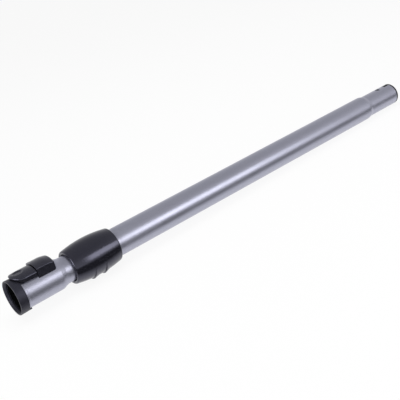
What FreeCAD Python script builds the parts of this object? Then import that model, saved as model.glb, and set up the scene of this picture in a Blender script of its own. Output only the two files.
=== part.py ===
import FreeCAD, Part
import math
import os

# Telescopic vacuum wand: a sliding tube in an outer tube, a sliding release sleeve with its lock,
# and a hose socket with a rocker latch. Millimetres. X runs along the wand from the mouth of the
# hose socket to the nozzle spigot, Z is up and the latch is on top. The wand is closed up.

V = FreeCAD.Vector
AXIS_X = V(1, 0, 0)
AXIS_Y = V(0, 1, 0)
AXIS_Z = V(0, 0, 1)
ORIGIN = V(0, 0, 0)

# Clearances
SEAT_GAP = 0.05           # between pieces that are fixed together
RUNNING_GAP = 0.08        # radial, between pieces that run on each other
SLIDE_GAP = 0.3           # between pieces that pass without touching
END_GAP = 0.8             # left at each end of the telescopic travel
OVERCUT = 1.0             # how far a cutting shape runs past what it cuts

# Tubes
INNER_D = 32.0            # outside of the sliding tube
TUBE_WALL = 0.8           # steel wall of both tubes
BUSH_SPACE = 0.7          # radial room between the tubes, taken up by the slide bush
SPIGOT_D = 31.6           # outside of the nozzle spigot
SOCKET_BORE_D = 36.1      # inside of the hose socket
SOCKET_TAPER = 0.25       # radius that the socket loses towards its shoulder
HEM = 0.75                # how far the socket's folded rim stands proud
HEM_SHOWN = 1.5           # hem in sight behind the collar
HEM_SLOPE = 0.5           # length over which the hem runs out

# Lengths along the wand
SOCKET_MOUTH = 26.0       # cylindrical stretch of the socket
SOCKET_LENGTH = 57.0      # from the mouth to the shoulder
SHOULDER_LENGTH = 7.5     # cone from the socket down to the sliding tube
NECK_SHOWN = 8.1          # sliding tube in sight when the wand is closed
SLEEVE_LENGTH = 62.9
NECK_CONE = 7.1           # cone from the swaged end of the outer tube to its full size
BODY_LENGTH = 455.4       # outer tube at its full size
SPIGOT_SHOULDER = 4.5     # cone down to the spigot
SPIGOT_LENGTH = 59.0

# Detents on the underside of the sliding tube
CHANNEL_WIDTH = 9.4
CHANNEL_DEPTH = 3.0
CHANNEL_INSET = 7.5       # channel's start, from the shoulder
RAIL_SIDE_GAP = 0.2
RAIL_DROP = 1.0           # rail's face below the tube's surface
RAIL_END_GAP = 2.0
NOTCH_PITCH = 20.0
NOTCH_DEPTH = 1.2
NOTCH_FLOOR = 4.4
NOTCH_SLOPE = 0.8         # run of each sloping side of a notch
SLIDE_BUSH_LENGTH = 48.0
SLIDE_BUSH_LIP = 1.2

# Hose socket collar
COLLAR_LENGTH = 11.0
COLLAR_WALL = 1.4
COLLAR_LIP = 5.0          # part of the collar in front of the tube's rim
COLLAR_ROUND = 0.8
COLLAR_DRAFT = 0.35       # radius lost towards the collar's rear edge
CLIP_LENGTH = 2.8         # tongues under the collar
CLIP_HALF_WIDTH = 3.0
CLIP_TURN = 25.0          # each of the two tongues from the bottom line, in degrees
CLIP_WALL = 1.0

# Latch
SADDLE_WALL = 1.4
SADDLE_HALF_WIDTH = 13.0
COVER_FRONT = 32.6
COVER_LENGTH = 22.8
COVER_HEIGHT = 8.45       # cover's top above the socket tube, in an arc about the wand's axis
COVER_HALF_WIDTH = 14.2
COVER_DRAFT = 0.3         # each side leans in by this much at the top
COVER_ROOF = 2.0
COVER_WALL = 1.6
COVER_CORNER = 3.0        # rounded rear corners, seen from above
COVER_REAR_SLOPE = 10.0   # length over which the top falls towards the rear
COVER_REAR_DROP = 1.8
COVER_REAR_LEAN = 1.3     # bevel along the rear edge of the top: its length
COVER_REAR_EDGE = 1.7     # and its height
LEVER_NOSE = 5.0          # tip of the lever, from the socket's mouth
LEVER_HEIGHT = 6.15       # lever's top above the socket tube, in an arc about the wand's axis
LEVER_HALF_WIDTH = 13.8
LEVER_NOSE_DROP = 0.8     # fall of the top from the flat to the tip
LEVER_NOSE_SHARE = 0.25   # part of that fall in the first half of the way
LEVER_NOSE_LENGTH = 12.5  # rounded part of the outline
LEVER_GAP = 0.45          # under the lever
LEVER_COVER_GAP = 0.8
LEVER_ROOT_DROP = 1.4     # root of the tail below the lever's top
LEVER_TAIL_DROP = 2.85
LEVER_TAIL_HALF_WIDTH = 4.6
LEVER_SHIN = 3.6          # length under the cover over which the lever thins to its tail
LEVER_TAIL_END = 0.6      # tail behind the catch
PRESS_ANGLE = 4.0         # travel of the lever
SCOOP_CENTRE = 10.5       # middle of the thumb scoop, behind the tip
SCOOP_R = 17.0
SCOOP_DEPTH = 1.5
AXLE_D = 2.0
AXLE_X = 28.0
AXLE_RISE = 2.85          # axle above the socket tube
AXLE_HALF_LENGTH = 8.6
AXLE_SNAP = 0.85          # opening through which the lever snaps on its axle, as a share of the axle
LUG_ROUND = 1.7
LUG_HALF_WIDTH = 4.0
LUG_GAP = 0.4
HOOK_BACK = 47.5
HOOK_LENGTH = 4.4
HOOK_TIP = 2.0
HOOK_HALF_WIDTH = 3.8
HOOK_REACH = 0.95         # how far the catch stands into the socket
WINDOW_GAP = 1.2
LATCH_LEAF_HALF_WIDTH = 2.5
LATCH_LEAF_WALL = 0.4
LATCH_LEAF_FLAT = 6.0     # part of the leaf that lies on the saddle, in front of the lug
LATCH_LEAF_SLOPE = 6.0
LATCH_LEAF_RISE = 2.5

# Release sleeve
MOUTH_GAP = 2.4           # open ring between the sleeve's mouth and the sliding tube
MOUTH_LIP = 2.6
MOUTH_FLANGE = 2.2        # length of the inward lip
MOUTH_STEP = 1.1          # room behind the lip
LOCK_HEIGHT = 4.3         # room for the lock between the outer tube and the sleeve
CROWN_WALL = 2.8          # sleeve wall at its widest place
TAIL_WALL = 3.6           # sleeve wall at its far end
TAIL_CORNER = 2.2
TAIL_THICKNESS = 2.5
ROOM_START = 16.0         # full inner room, from the mouth
ROOM_END = 0.5            # full inner room, up to this far before the spring stop ring
PARTING_HEIGHT = 0.0      # upper shell starts this far above the axis
SLEEVE_TRAVEL = 6.0
CROWN_STEPS = 7           # straight stretches that follow the long curve
RIB_START = 9.0           # first finger rib, before the sleeve's middle
RIB_PITCH = 15.0
RIB_COUNT = 2
RIB_HEIGHT = 1.75
RIB_RISE = 0.4
RIB_SLOPE = 8.0
RIB_FLAT = 1.2            # flat on the rib crests, below the widest line of the sleeve
TAB_LENGTH = 6.0
TAB_WALL = 1.1
TAB_DROP = 3.5
TAB_RISE = 2.0
TAB_STATIONS = (17.5, 29.0)

# Guide bush, wiper and lock
BUSH_START = 9.3          # front of the guide bush, from the sleeve's mouth
BUSH_NOSE = 6.0
BUSH_SKIRT = 23.2
BUSH_SKIRT_WALL = 1.25
BOSS_ROOT = 1.1           # how far the lock's boss runs into the skirt
WIPER_LENGTH = 2.0
WIPER_WALL = 1.2
KEY_GAP = 0.4
LOCK_SETBACK = 13.5       # lock tooth, from the open end of the outer tube
LOCK_LIFT = 1.4           # tooth's way out when the sleeve is pushed
TOOTH_LENGTH = 7.8
TOOTH_WIDTH = 8.2
TOOTH_TIP = 4.0
TOOTH_BEVEL = 1.9
TOOTH_GAP = 0.1
TOOTH_BACK = 2.1          # tooth's back above the swaged tube
CROSS_PIN_D = 1.8
CROSS_PIN_RISE = 0.2      # pin's axis above the swaged tube
CROSS_PIN_GAP = 0.09
TUBE_WINDOW_GAP = 0.6
CAM_INSIDE = 6.0          # near side of each cam rib, from the middle
CAM_WALL = 1.6
CAM_FRONT = 8.5
CAM_REAR = 2.2
CAM_POCKET = 2.2          # length of the pocket that lets the pin drop into a notch
CAM_ROOT = 0.6            # how far cam ribs and lugs run into the shell's wall
BOSS_HALF_WIDTH = 5.5
BOSS_FRONT = 8.0
BOSS_REAR = 6.0
BOSS_DROP = 0.3           # boss below the tooth's back
CLAMP_LENGTH = 3.5
CLAMP_WALL = 0.5
LEAF_WALL = 0.4
LEAF_HALF_WIDTH = 3.2
LEAF_OVERHANG = 2.5       # leaf past the middle of the tooth
LEAF_GAP = 0.02

# Return springs of the sleeve
LUG_LENGTH = 2.2
LUG_HALF_HEIGHT = 3.0
RETURN_SPRING_LENGTH = 9.5
RETURN_SPRING_R = 1.45
RETURN_SPRING_WIRE = 0.5
RETURN_SPRING_TURNS = 4.0
COIL_STEPS = 12
RETURN_SPRING_RISE = 2.1  # spring's axis above the swaged tube
RETURN_SPRING_DROP = 4.0  # and below the shells' parting
STOP_RING_LENGTH = 2.2
STOP_RING_WALL = 2.85
STOP_RING_TOP = 6.0       # open top of the clip-on ring starts this far above the axis

# Nozzle spigot
RING_FLANGE = 2.0
RING_SLEEVE = 12.0
RING_WALL = 0.75
TONGUE_LENGTH = 11.0
TONGUE_HALF_WIDTH = 3.0
CATCH_HOLE_INSET = 27.0   # middle of the catch hole, from the wand's end
CATCH_HOLE_LENGTH = 6.0
CATCH_HOLE_WIDTH = 7.5

# Radii that follow from the sizes above
r_inner = INNER_D / 2
r_inner_bore = r_inner - TUBE_WALL
r_outer_bore = r_inner + BUSH_SPACE
r_outer = r_outer_bore + TUBE_WALL
r_neck_bore = r_inner + SLIDE_GAP
r_neck = r_neck_bore + TUBE_WALL
r_spigot = SPIGOT_D / 2
r_spigot_bore = r_spigot - TUBE_WALL
r_socket_bore = SOCKET_BORE_D / 2
r_socket = r_socket_bore + TUBE_WALL
r_hem = r_socket + HEM
r_saddle = r_socket + SEAT_GAP + SADDLE_WALL
r_collar = r_hem + SEAT_GAP + COLLAR_WALL
r_mouth = r_inner + MOUTH_GAP
r_room = r_neck + LOCK_HEIGHT
r_crown = r_room + CROWN_WALL
r_tail_bore = r_outer + SLIDE_GAP
r_tail = r_tail_bore + TAIL_WALL
r_rail = r_inner - RAIL_DROP
r_channel = r_inner - CHANNEL_DEPTH
r_skirt = r_neck + SEAT_GAP + BUSH_SKIRT_WALL

# Stations along the wand that follow from the sizes above
x_neck = SOCKET_LENGTH + SHOULDER_LENGTH
x_sleeve = x_neck + NECK_SHOWN
x_sleeve_end = x_sleeve + SLEEVE_LENGTH
x_sleeve_middle = (x_sleeve + x_sleeve_end) / 2
x_body = x_sleeve_end + NECK_CONE
x_body_end = x_body + BODY_LENGTH
x_spigot = x_body_end + SPIGOT_SHOULDER
x_spigot_end = x_spigot + SPIGOT_LENGTH
x_end = x_spigot_end + RING_FLANGE
x_bush = x_sleeve + BUSH_START
x_open_end = x_bush + BUSH_NOSE
x_skirt_end = x_open_end + BUSH_SKIRT
x_tooth = x_open_end + LOCK_SETBACK
x_lug = x_skirt_end + SLIDE_GAP
x_spring = x_lug + LUG_LENGTH + 2 * SEAT_GAP
x_stop_ring = x_spring + RETURN_SPRING_LENGTH
x_slide_bush_end = x_body_end - END_GAP
x_slide_bush = x_slide_bush_end - SLIDE_BUSH_LENGTH
x_inner_end = x_slide_bush_end - SLIDE_BUSH_LIP - SEAT_GAP
x_channel = x_neck + CHANNEL_INSET
x_channel_end = x_slide_bush - RAIL_END_GAP
x_rail = x_channel + RAIL_END_GAP
x_rail_end = x_channel_end - RAIL_END_GAP
x_rim = COLLAR_LIP + SEAT_GAP
notch_count = int((x_slide_bush - x_body - END_GAP) / NOTCH_PITCH)
travel = notch_count * NOTCH_PITCH

# Heights of the lock, measured outwards from the axis
h_tip = r_rail + SLIDE_GAP
h_pin = r_neck + CROSS_PIN_RISE
h_back = r_neck + TOOTH_BACK
h_boss = h_back - BOSS_DROP
h_clamp = h_back + LEAF_WALL + CLAMP_WALL

# Heights of the latch
z_axle = r_socket + AXLE_RISE
z_lever = r_socket + LEVER_HEIGHT
z_cover = r_socket + COVER_HEIGHT
z_tail = z_lever - LEVER_TAIL_DROP
z_hook = r_socket_bore - SOCKET_TAPER - HOOK_REACH
z_latch_leaf = r_saddle + LATCH_LEAF_RISE
z_return_spring = PARTING_HEIGHT - RETURN_SPRING_DROP
x_cover_end = COVER_FRONT + COVER_LENGTH


def box(x0, x1, y0, y1, z0, z1):
    return Part.makeBox(x1 - x0, y1 - y0, z1 - z0, V(x0, y0, z0))


def rod_x(x0, x1, radius):
    return Part.makeCylinder(radius, x1 - x0, V(x0, 0, 0), AXIS_X)


def rod_y(x, z, radius, y0, y1):
    return Part.makeCylinder(radius, y1 - y0, V(x, y0, z), AXIS_Y)


def rod_z(x, y, radius, z0, z1):
    return Part.makeCylinder(radius, z1 - z0, V(x, y, z0), AXIS_Z)


def pipe_x(x0, x1, r_out, r_in):
    return rod_x(x0, x1, r_out).cut(rod_x(x0, x1, r_in))


def turned(points):
    """Solid of revolution about X from a closed outline of (x, radius) points."""
    corners = [V(x, 0, r) for x, r in points]
    face = Part.Face(Part.makePolygon(corners + corners[:1]))
    return face.revolve(ORIGIN, AXIS_X, 360)


def prism_y(points, y0, y1):
    """Outline of (x, z) points, extruded across the wand."""
    corners = [V(x, y0, z) for x, z in points]
    face = Part.Face(Part.makePolygon(corners + corners[:1]))
    return face.extrude(V(0, y1 - y0, 0))


def line(a, b):
    return Part.LineSegment(V(*a), V(*b)).toShape()


def arc(a, b, c):
    return Part.Arc(V(*a), V(*b), V(*c)).toShape()


def round_points(x, r, radius, start, end, steps):
    """Points along a corner round, for a turned outline. Angles in degrees from +X towards +r."""
    points = []
    for i in range(steps + 1):
        turn = math.radians(start + (end - start) * i / steps)
        points.append((x + radius * math.cos(turn), r + radius * math.sin(turn)))
    return points


def below(x0, x1, half_width, h0, h1):
    """Box under the axis between two heights that are measured outwards."""
    return box(x0, x1, -half_width, half_width, -h1, -h0)


def coil(radius, wire, height, turns):
    """Compression spring that stands on the origin, wound in straight steps from square wire."""
    lift = height - wire
    count = int(turns * COIL_STEPS)
    path = []
    for i in range(count + 1):
        turn = 2 * math.pi * i / COIL_STEPS
        path.append(V(radius * math.cos(turn), radius * math.sin(turn), wire / 2 + lift * i / count))
    ahead = path[1] - path[0]
    section = Part.makePlane(wire, wire, V(-wire / 2, -wire / 2, 0))
    section.rotate(ORIGIN, AXIS_Y, 90)
    section.rotate(ORIGIN, AXIS_Z, math.degrees(math.atan2(ahead.y, ahead.x)))
    section.translate(path[0])
    return Part.makePolygon(path).makePipeShell([section.OuterWire], True, False, 1)


def pressed(shape, angle):
    """Copy turned about the latch axle, nose down for a positive angle."""
    copy = shape.copy()
    copy.rotate(V(AXLE_X, 0, z_axle), V(0, -1, 0), angle)
    return copy


def outer_tube():
    tube = turned([
        (x_open_end + SEAT_GAP, r_neck), (x_sleeve_end, r_neck), (x_body, r_outer),
        (x_body_end, r_outer), (x_spigot, r_spigot), (x_spigot_end, r_spigot),
        (x_spigot_end, r_spigot_bore), (x_spigot, r_spigot_bore), (x_body_end, r_outer_bore),
        (x_body, r_outer_bore), (x_sleeve_end, r_neck_bore), (x_open_end + SEAT_GAP, r_neck_bore)])
    half = TOOTH_LENGTH / 2 + TUBE_WINDOW_GAP
    window = below(x_tooth - half, x_tooth + half, TOOTH_WIDTH / 2 + TUBE_WINDOW_GAP, r_channel, r_room)
    pin_half = CROSS_PIN_D / 2 + TUBE_WINDOW_GAP
    pin_slot = below(x_tooth - pin_half, x_tooth + pin_half, CAM_INSIDE + SLIDE_GAP, r_channel, r_room)
    slot = box(x_spigot_end - TONGUE_LENGTH - SEAT_GAP, x_end, -TONGUE_HALF_WIDTH - SEAT_GAP,
               TONGUE_HALF_WIDTH + SEAT_GAP, r_spigot_bore / 2, r_spigot + OVERCUT)
    return tube.cut(window).cut(pin_slot).cut(slot).cut(catch_hole())


def catch_hole():
    """Long hole across the top of the spigot for the catch of a nozzle."""
    x = x_end - CATCH_HOLE_INSET
    radius = CATCH_HOLE_LENGTH / 2
    half = CATCH_HOLE_WIDTH / 2 - radius
    top = r_spigot + OVERCUT
    ends = rod_z(x, -half, radius, 0, top).fuse(rod_z(x, half, radius, 0, top))
    return ends.fuse(box(x - radius, x + radius, -half, half, 0, top))


def spigot_end_ring():
    sleeve_r = r_spigot_bore - SEAT_GAP
    ring = turned([
        (x_spigot_end - RING_SLEEVE, sleeve_r), (x_spigot_end + SEAT_GAP, sleeve_r),
        (x_spigot_end + SEAT_GAP, r_spigot), (x_end, r_spigot),
        (x_end, sleeve_r - RING_WALL), (x_spigot_end - RING_SLEEVE, sleeve_r - RING_WALL)])
    tongue = pipe_x(x_spigot_end - TONGUE_LENGTH, x_end, r_spigot, sleeve_r - RING_WALL)
    strip = box(x_spigot_end - TONGUE_LENGTH, x_end, -TONGUE_HALF_WIDTH, TONGUE_HALF_WIDTH, 0, r_spigot)
    return ring.fuse(tongue.common(strip)).removeSplitter()


def inner_tube():
    """Socket, shoulder and sliding tube in one drawn piece, with the detent channel below."""
    r_rear = r_socket - SOCKET_TAPER
    x_hem = COLLAR_LENGTH + SEAT_GAP + HEM_SHOWN
    solid = turned([
        (x_rim, 0), (x_rim, r_hem), (x_hem, r_hem), (x_hem + HEM_SLOPE, r_socket),
        (SOCKET_MOUTH, r_socket), (SOCKET_LENGTH, r_rear), (x_neck, r_inner),
        (x_inner_end, r_inner), (x_inner_end, 0)])
    hollow = turned([
        (x_rim - OVERCUT, 0), (x_rim - OVERCUT, r_socket_bore), (SOCKET_MOUTH, r_socket_bore),
        (SOCKET_LENGTH, r_rear - TUBE_WALL), (x_neck, r_inner_bore),
        (x_inner_end + OVERCUT, r_inner_bore), (x_inner_end + OVERCUT, 0)])
    half = CHANNEL_WIDTH / 2
    channel = below(x_channel, x_channel_end, half, r_channel, r_inner + OVERCUT)
    bed = below(x_channel - TUBE_WALL, x_channel_end + TUBE_WALL, half + TUBE_WALL,
                r_channel - TUBE_WALL, r_inner + OVERCUT)
    return solid.cut(channel).cut(hollow.cut(bed)).cut(hook_window())


def hook_window():
    return box(HOOK_BACK - HOOK_LENGTH - WINDOW_GAP, HOOK_BACK + WINDOW_GAP,
               -HOOK_HALF_WIDTH - SLIDE_GAP, HOOK_HALF_WIDTH + SLIDE_GAP, r_inner_bore / 2, r_collar)


def detent_rail():
    half = CHANNEL_WIDTH / 2 - RAIL_SIDE_GAP
    rail = below(x_rail, x_rail_end, half, r_channel + SEAT_GAP, r_rail)
    floor = NOTCH_FLOOR / 2
    mouth = floor + NOTCH_SLOPE
    for i in range(1, notch_count + 1):
        x = x_tooth + i * NOTCH_PITCH
        outline = [(x - floor, NOTCH_DEPTH - r_rail), (x + floor, NOTCH_DEPTH - r_rail),
                   (x + mouth, -r_rail), (x - mouth, -r_rail)]
        rail = rail.cut(prism_y(outline, -half, half))
    return rail


def slide_bush():
    return turned([
        (x_slide_bush, r_inner + SEAT_GAP), (x_slide_bush, r_outer_bore - RUNNING_GAP),
        (x_slide_bush_end, r_outer_bore - RUNNING_GAP), (x_slide_bush_end, r_inner_bore),
        (x_inner_end + SEAT_GAP, r_inner_bore), (x_inner_end + SEAT_GAP, r_inner + SEAT_GAP)])


def end_collar():
    """Collar on the socket's rim, in one moulding with the saddle that carries the latch."""
    seat = r_hem + SEAT_GAP
    outline = [(0, r_socket_bore)]
    outline += round_points(COLLAR_ROUND, r_collar - COLLAR_ROUND, COLLAR_ROUND, 180, 90, 2)
    outline += [(COLLAR_LENGTH, r_collar - COLLAR_DRAFT), (COLLAR_LENGTH, seat), (COLLAR_LIP, seat),
                (COLLAR_LIP, r_socket_bore)]
    ring = turned(outline)
    band = pipe_x(COLLAR_LENGTH - OVERCUT, COLLAR_LENGTH + CLIP_LENGTH, seat + CLIP_WALL, seat)
    for turn in (-CLIP_TURN, CLIP_TURN):
        strip = below(0, SOCKET_LENGTH, CLIP_HALF_WIDTH, 0, r_collar)
        strip.rotate(ORIGIN, AXIS_X, turn)
        ring = ring.fuse(band.common(strip))
    return ring.fuse(saddle()).removeSplitter()


def saddle():
    """Curved plate on top of the socket with the axle lug."""
    x_start = COLLAR_LENGTH + SEAT_GAP + HEM_SHOWN + HEM_SLOPE
    plate = pipe_x(COLLAR_LENGTH - COLLAR_ROUND, x_cover_end - COVER_WALL - COVER_REAR_LEAN - SLIDE_GAP,
                   r_saddle, r_socket + SEAT_GAP)
    front = box(0, COVER_FRONT - LEVER_COVER_GAP, -SADDLE_HALF_WIDTH, SADDLE_HALF_WIDTH, 0, r_saddle)
    inside = COVER_HALF_WIDTH - COVER_WALL - COVER_DRAFT - SLIDE_GAP
    rear = box(0, x_cover_end, -inside, inside, 0, r_saddle)
    plate = plate.common(front.fuse(rear))
    plate = plate.cut(pipe_x(0, x_start + SEAT_GAP, r_hem + SEAT_GAP, r_socket_bore))
    lug = box(AXLE_X - LUG_ROUND, AXLE_X + LUG_ROUND, -LUG_HALF_WIDTH, LUG_HALF_WIDTH,
              r_socket + SADDLE_WALL / 2, z_axle)
    lug = lug.fuse(rod_y(AXLE_X, z_axle, LUG_ROUND, -LUG_HALF_WIDTH, LUG_HALF_WIDTH))
    bore = rod_y(AXLE_X, z_axle, AXLE_D / 2 + SEAT_GAP / 2, -r_collar, r_collar)
    return plate.fuse(lug).cut(bore).cut(hook_window())


def cover_block(inset, roof, front):
    """Cover's outline drawn in by a wall and a roof: the outside for zero, the hollow otherwise."""
    end = x_cover_end - inset
    top = z_cover - roof
    edge = top - COVER_REAR_DROP
    low = COVER_HALF_WIDTH - inset
    high = low - COVER_DRAFT
    section = [V(front, -low, 0), V(front, -high, top), V(front, high, top), V(front, low, 0)]
    bar = Part.Face(Part.makePolygon(section + section[:1])).extrude(V(end - front, 0, 0))
    rear = [e for e in bar.Edges if e.BoundBox.XMin > end - OVERCUT]
    corners = [e for e in rear if e.BoundBox.ZLength > top / 2]
    bar = bar.makeFillet(COVER_CORNER - inset, corners)
    arched = turned([(front, 0), (front, top), (end - COVER_REAR_SLOPE, top), (end - COVER_REAR_LEAN, edge),
                     (end, edge - COVER_REAR_EDGE), (end, 0)])
    return bar.common(arched)


def latch_cover():
    shell = cover_block(0, 0, COVER_FRONT)
    hollow = cover_block(COVER_WALL, COVER_ROOF, COVER_FRONT - OVERCUT)
    return shell.cut(hollow).cut(rod_x(0, x_cover_end + OVERCUT, r_socket + SEAT_GAP))


def lever_outline():
    """Lever seen from above: straight sides and a round nose."""
    x_round = LEVER_NOSE + LEVER_NOSE_LENGTH
    x_rear = COVER_FRONT - LEVER_COVER_GAP
    width = LEVER_HALF_WIDTH
    edges = [
        arc((x_round, width, 0), (LEVER_NOSE, 0, 0), (x_round, -width, 0)),
        line((x_round, -width, 0), (x_rear, -width, 0)),
        line((x_rear, -width, 0), (x_rear, width, 0)),
        line((x_rear, width, 0), (x_round, width, 0))]
    return Part.Face(Part.Wire(edges)).extrude(V(0, 0, z_lever))


def latch_lever():
    """Rocker with a thumb scoop on its nose and the catch under its tail."""
    x_flat = LEVER_NOSE + LEVER_NOSE_LENGTH
    x_rear = COVER_FRONT - LEVER_COVER_GAP
    x_tail = x_rear + LEVER_SHIN
    x_back = HOOK_BACK + LEVER_TAIL_END
    arched = turned([
        (LEVER_NOSE, 0), (LEVER_NOSE, z_lever - LEVER_NOSE_DROP),
        ((LEVER_NOSE + x_flat) / 2, z_lever - LEVER_NOSE_DROP * LEVER_NOSE_SHARE),
        (x_flat, z_lever), (x_rear, z_lever), (x_rear, 0)])
    head = lever_outline().common(arched)
    x_root = x_rear - LEVER_SHIN
    z_root = z_lever - LEVER_ROOT_DROP
    shin = prism_y([(x_root, r_socket), (x_root, z_root), (x_rear, z_root), (x_tail, z_tail),
                    (x_back, z_tail), (x_back, r_socket)], -LEVER_TAIL_HALF_WIDTH, LEVER_TAIL_HALF_WIDTH)
    hook = prism_y([(HOOK_BACK - HOOK_LENGTH, z_axle), (HOOK_BACK - HOOK_LENGTH, r_saddle),
                    (HOOK_BACK - HOOK_TIP, z_hook), (HOOK_BACK, z_hook), (HOOK_BACK, z_axle)],
                   -HOOK_HALF_WIDTH, HOOK_HALF_WIDTH)
    body = head.fuse(shin).cut(under_lever()).fuse(hook).cut(lever_pockets())
    return body.cut(thumb_scoop()).removeSplitter()


def under_lever():
    """Everything the lever has to clear from rest to fully pressed, seen from the lever."""
    deck = rod_x(0, x_cover_end, r_saddle + LEVER_GAP)
    collar = rod_x(-OVERCUT, COLLAR_LENGTH + LEVER_GAP, r_collar + LEVER_GAP)
    fixed = deck.fuse(collar)
    return fixed.fuse(pressed(fixed, -PRESS_ANGLE))


def lever_pockets():
    """Room for the axle lug, the axle and the leaf spring."""
    half = LUG_HALF_WIDTH + LUG_GAP
    round_r = LUG_ROUND + LUG_GAP
    foot = round_r + math.radians(PRESS_ANGLE) * AXLE_RISE
    lug = rod_y(AXLE_X, z_axle, round_r, -half, half)
    lug = lug.fuse(box(AXLE_X - foot, AXLE_X + foot, -half, half, r_socket, z_axle))
    bore_end = AXLE_HALF_LENGTH + SEAT_GAP
    bore = rod_y(AXLE_X, z_axle, AXLE_D / 2 + RUNNING_GAP, -bore_end, bore_end)
    snap = AXLE_SNAP * AXLE_D / 2
    bore = bore.fuse(box(AXLE_X - snap, AXLE_X + snap, -bore_end, bore_end, r_inner_bore, z_axle))
    x_leaf = AXLE_X - LUG_ROUND - LATCH_LEAF_FLAT - LATCH_LEAF_SLOPE
    half_leaf = LATCH_LEAF_HALF_WIDTH + SLIDE_GAP
    leaf = box(x_leaf - LEVER_GAP, AXLE_X, -half_leaf, half_leaf, r_socket, z_latch_leaf + SEAT_GAP)
    return lug.fuse(bore).fuse(leaf)


def thumb_scoop():
    return Part.makeSphere(SCOOP_R, V(LEVER_NOSE + SCOOP_CENTRE, 0, z_lever - SCOOP_DEPTH + SCOOP_R))


def latch_axle():
    return rod_y(AXLE_X, z_axle, AXLE_D / 2, -AXLE_HALF_LENGTH, AXLE_HALF_LENGTH)


def latch_leaf_spring():
    """Bent strip that lies on the saddle and lifts the nose of the lever."""
    x_rear = AXLE_X - LUG_ROUND - SEAT_GAP
    x_bend = x_rear - LATCH_LEAF_FLAT
    x_front = x_bend - LATCH_LEAF_SLOPE
    low = r_saddle + SEAT_GAP
    top = z_latch_leaf - SEAT_GAP
    return prism_y([(x_rear, low), (x_bend, low), (x_front, top - LATCH_LEAF_WALL), (x_front, top),
                    (x_bend, low + LATCH_LEAF_WALL), (x_rear, low + LATCH_LEAF_WALL)],
                   -LATCH_LEAF_HALF_WIDTH, LATCH_LEAF_HALF_WIDTH)


def guide_bush():
    """Bush on the open end of the outer tube, with the lock's boss below."""
    bore = r_inner + RUNNING_GAP
    wiper_seat = bore + WIPER_WALL
    body = turned([
        (x_bush, wiper_seat), (x_bush, r_skirt), (x_skirt_end, r_skirt),
        (x_skirt_end, r_neck + SEAT_GAP), (x_open_end, r_neck + SEAT_GAP),
        (x_open_end, bore), (x_bush + WIPER_LENGTH, bore), (x_bush + WIPER_LENGTH, wiper_seat)])
    key = below(x_bush + WIPER_LENGTH, x_open_end, CHANNEL_WIDTH / 2 - KEY_GAP, r_rail + KEY_GAP,
                bore + WIPER_WALL)
    boss = below(x_tooth - BOSS_FRONT, x_tooth + BOSS_REAR, BOSS_HALF_WIDTH,
                 r_skirt - BOSS_ROOT, h_boss)
    clamp = below(x_tooth - BOSS_FRONT, x_tooth - BOSS_FRONT + CLAMP_LENGTH, BOSS_HALF_WIDTH,
                  h_boss - CLAMP_WALL, h_clamp)
    leaf_slot = below(x_tooth - BOSS_FRONT, x_tooth, LEAF_HALF_WIDTH + TOOTH_GAP, h_back - LEAF_GAP,
                      h_back + LEAF_WALL + LEAF_GAP)
    bush = body.fuse(key).fuse(boss).fuse(clamp).cut(leaf_slot)
    half = TOOTH_LENGTH / 2 + TOOTH_GAP
    bush = bush.cut(below(x_tooth - half, x_tooth + half, TOOTH_WIDTH / 2 + TOOTH_GAP, 0, r_crown))
    pin_half = CROSS_PIN_D / 2 + CROSS_PIN_GAP
    bush = bush.cut(below(x_tooth - pin_half, x_tooth + pin_half, CAM_INSIDE, 0, r_crown))
    for side in (-1, 1):
        near = side * (CAM_INSIDE - SLIDE_GAP)
        far = side * (CAM_INSIDE + CAM_WALL + SLIDE_GAP)
        bush = bush.cut(box(x_tooth - CAM_FRONT - SLIDE_GAP, x_tooth + CAM_REAR + SLEEVE_TRAVEL + SLIDE_GAP,
                            min(near, far), max(near, far), -r_crown, -r_rail / 2))
    return bush.removeSplitter()


def dust_wiper():
    bore = r_inner + RUNNING_GAP
    return pipe_x(x_bush + SEAT_GAP, x_bush + WIPER_LENGTH - SEAT_GAP, bore + WIPER_WALL - SEAT_GAP, bore)


def lock_tooth():
    tip = TOOTH_TIP / 2
    half = TOOTH_LENGTH / 2
    tooth = prism_y([
        (x_tooth - tip, -h_tip), (x_tooth - half, -h_tip - TOOTH_BEVEL), (x_tooth - half, -h_back),
        (x_tooth + half, -h_back), (x_tooth + half, -h_tip - TOOTH_BEVEL), (x_tooth + tip, -h_tip)],
        -TOOTH_WIDTH / 2, TOOTH_WIDTH / 2)
    return tooth.cut(rod_y(x_tooth, -h_pin, CROSS_PIN_D / 2 + SEAT_GAP / 2, -TOOTH_WIDTH, TOOTH_WIDTH))


def lock_cross_pin():
    half = CAM_INSIDE + CAM_WALL
    return rod_y(x_tooth, -h_pin, CROSS_PIN_D / 2, -half, half)


def lock_leaf_spring():
    return below(x_tooth - BOSS_FRONT + SEAT_GAP, x_tooth + LEAF_OVERHANG, LEAF_HALF_WIDTH,
                 h_back + LEAF_GAP / 2, h_back + LEAF_WALL)


def spring_stop_ring():
    seat = r_neck + SEAT_GAP
    x_far = x_stop_ring + STOP_RING_LENGTH
    ring = pipe_x(x_stop_ring, x_far, seat + STOP_RING_WALL, seat)
    return ring.cut(box(x_stop_ring, x_far, -r_crown, r_crown, STOP_RING_TOP, r_crown))


def return_spring(side):
    length = RETURN_SPRING_LENGTH - 2 * SEAT_GAP
    spring = coil(RETURN_SPRING_R, RETURN_SPRING_WIRE, length, RETURN_SPRING_TURNS)
    spring.rotate(ORIGIN, AXIS_Y, 90)
    out = math.sqrt((r_neck + RETURN_SPRING_RISE) ** 2 - z_return_spring ** 2)
    spring.translate(V(x_spring, side * out, z_return_spring))
    return spring


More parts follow.
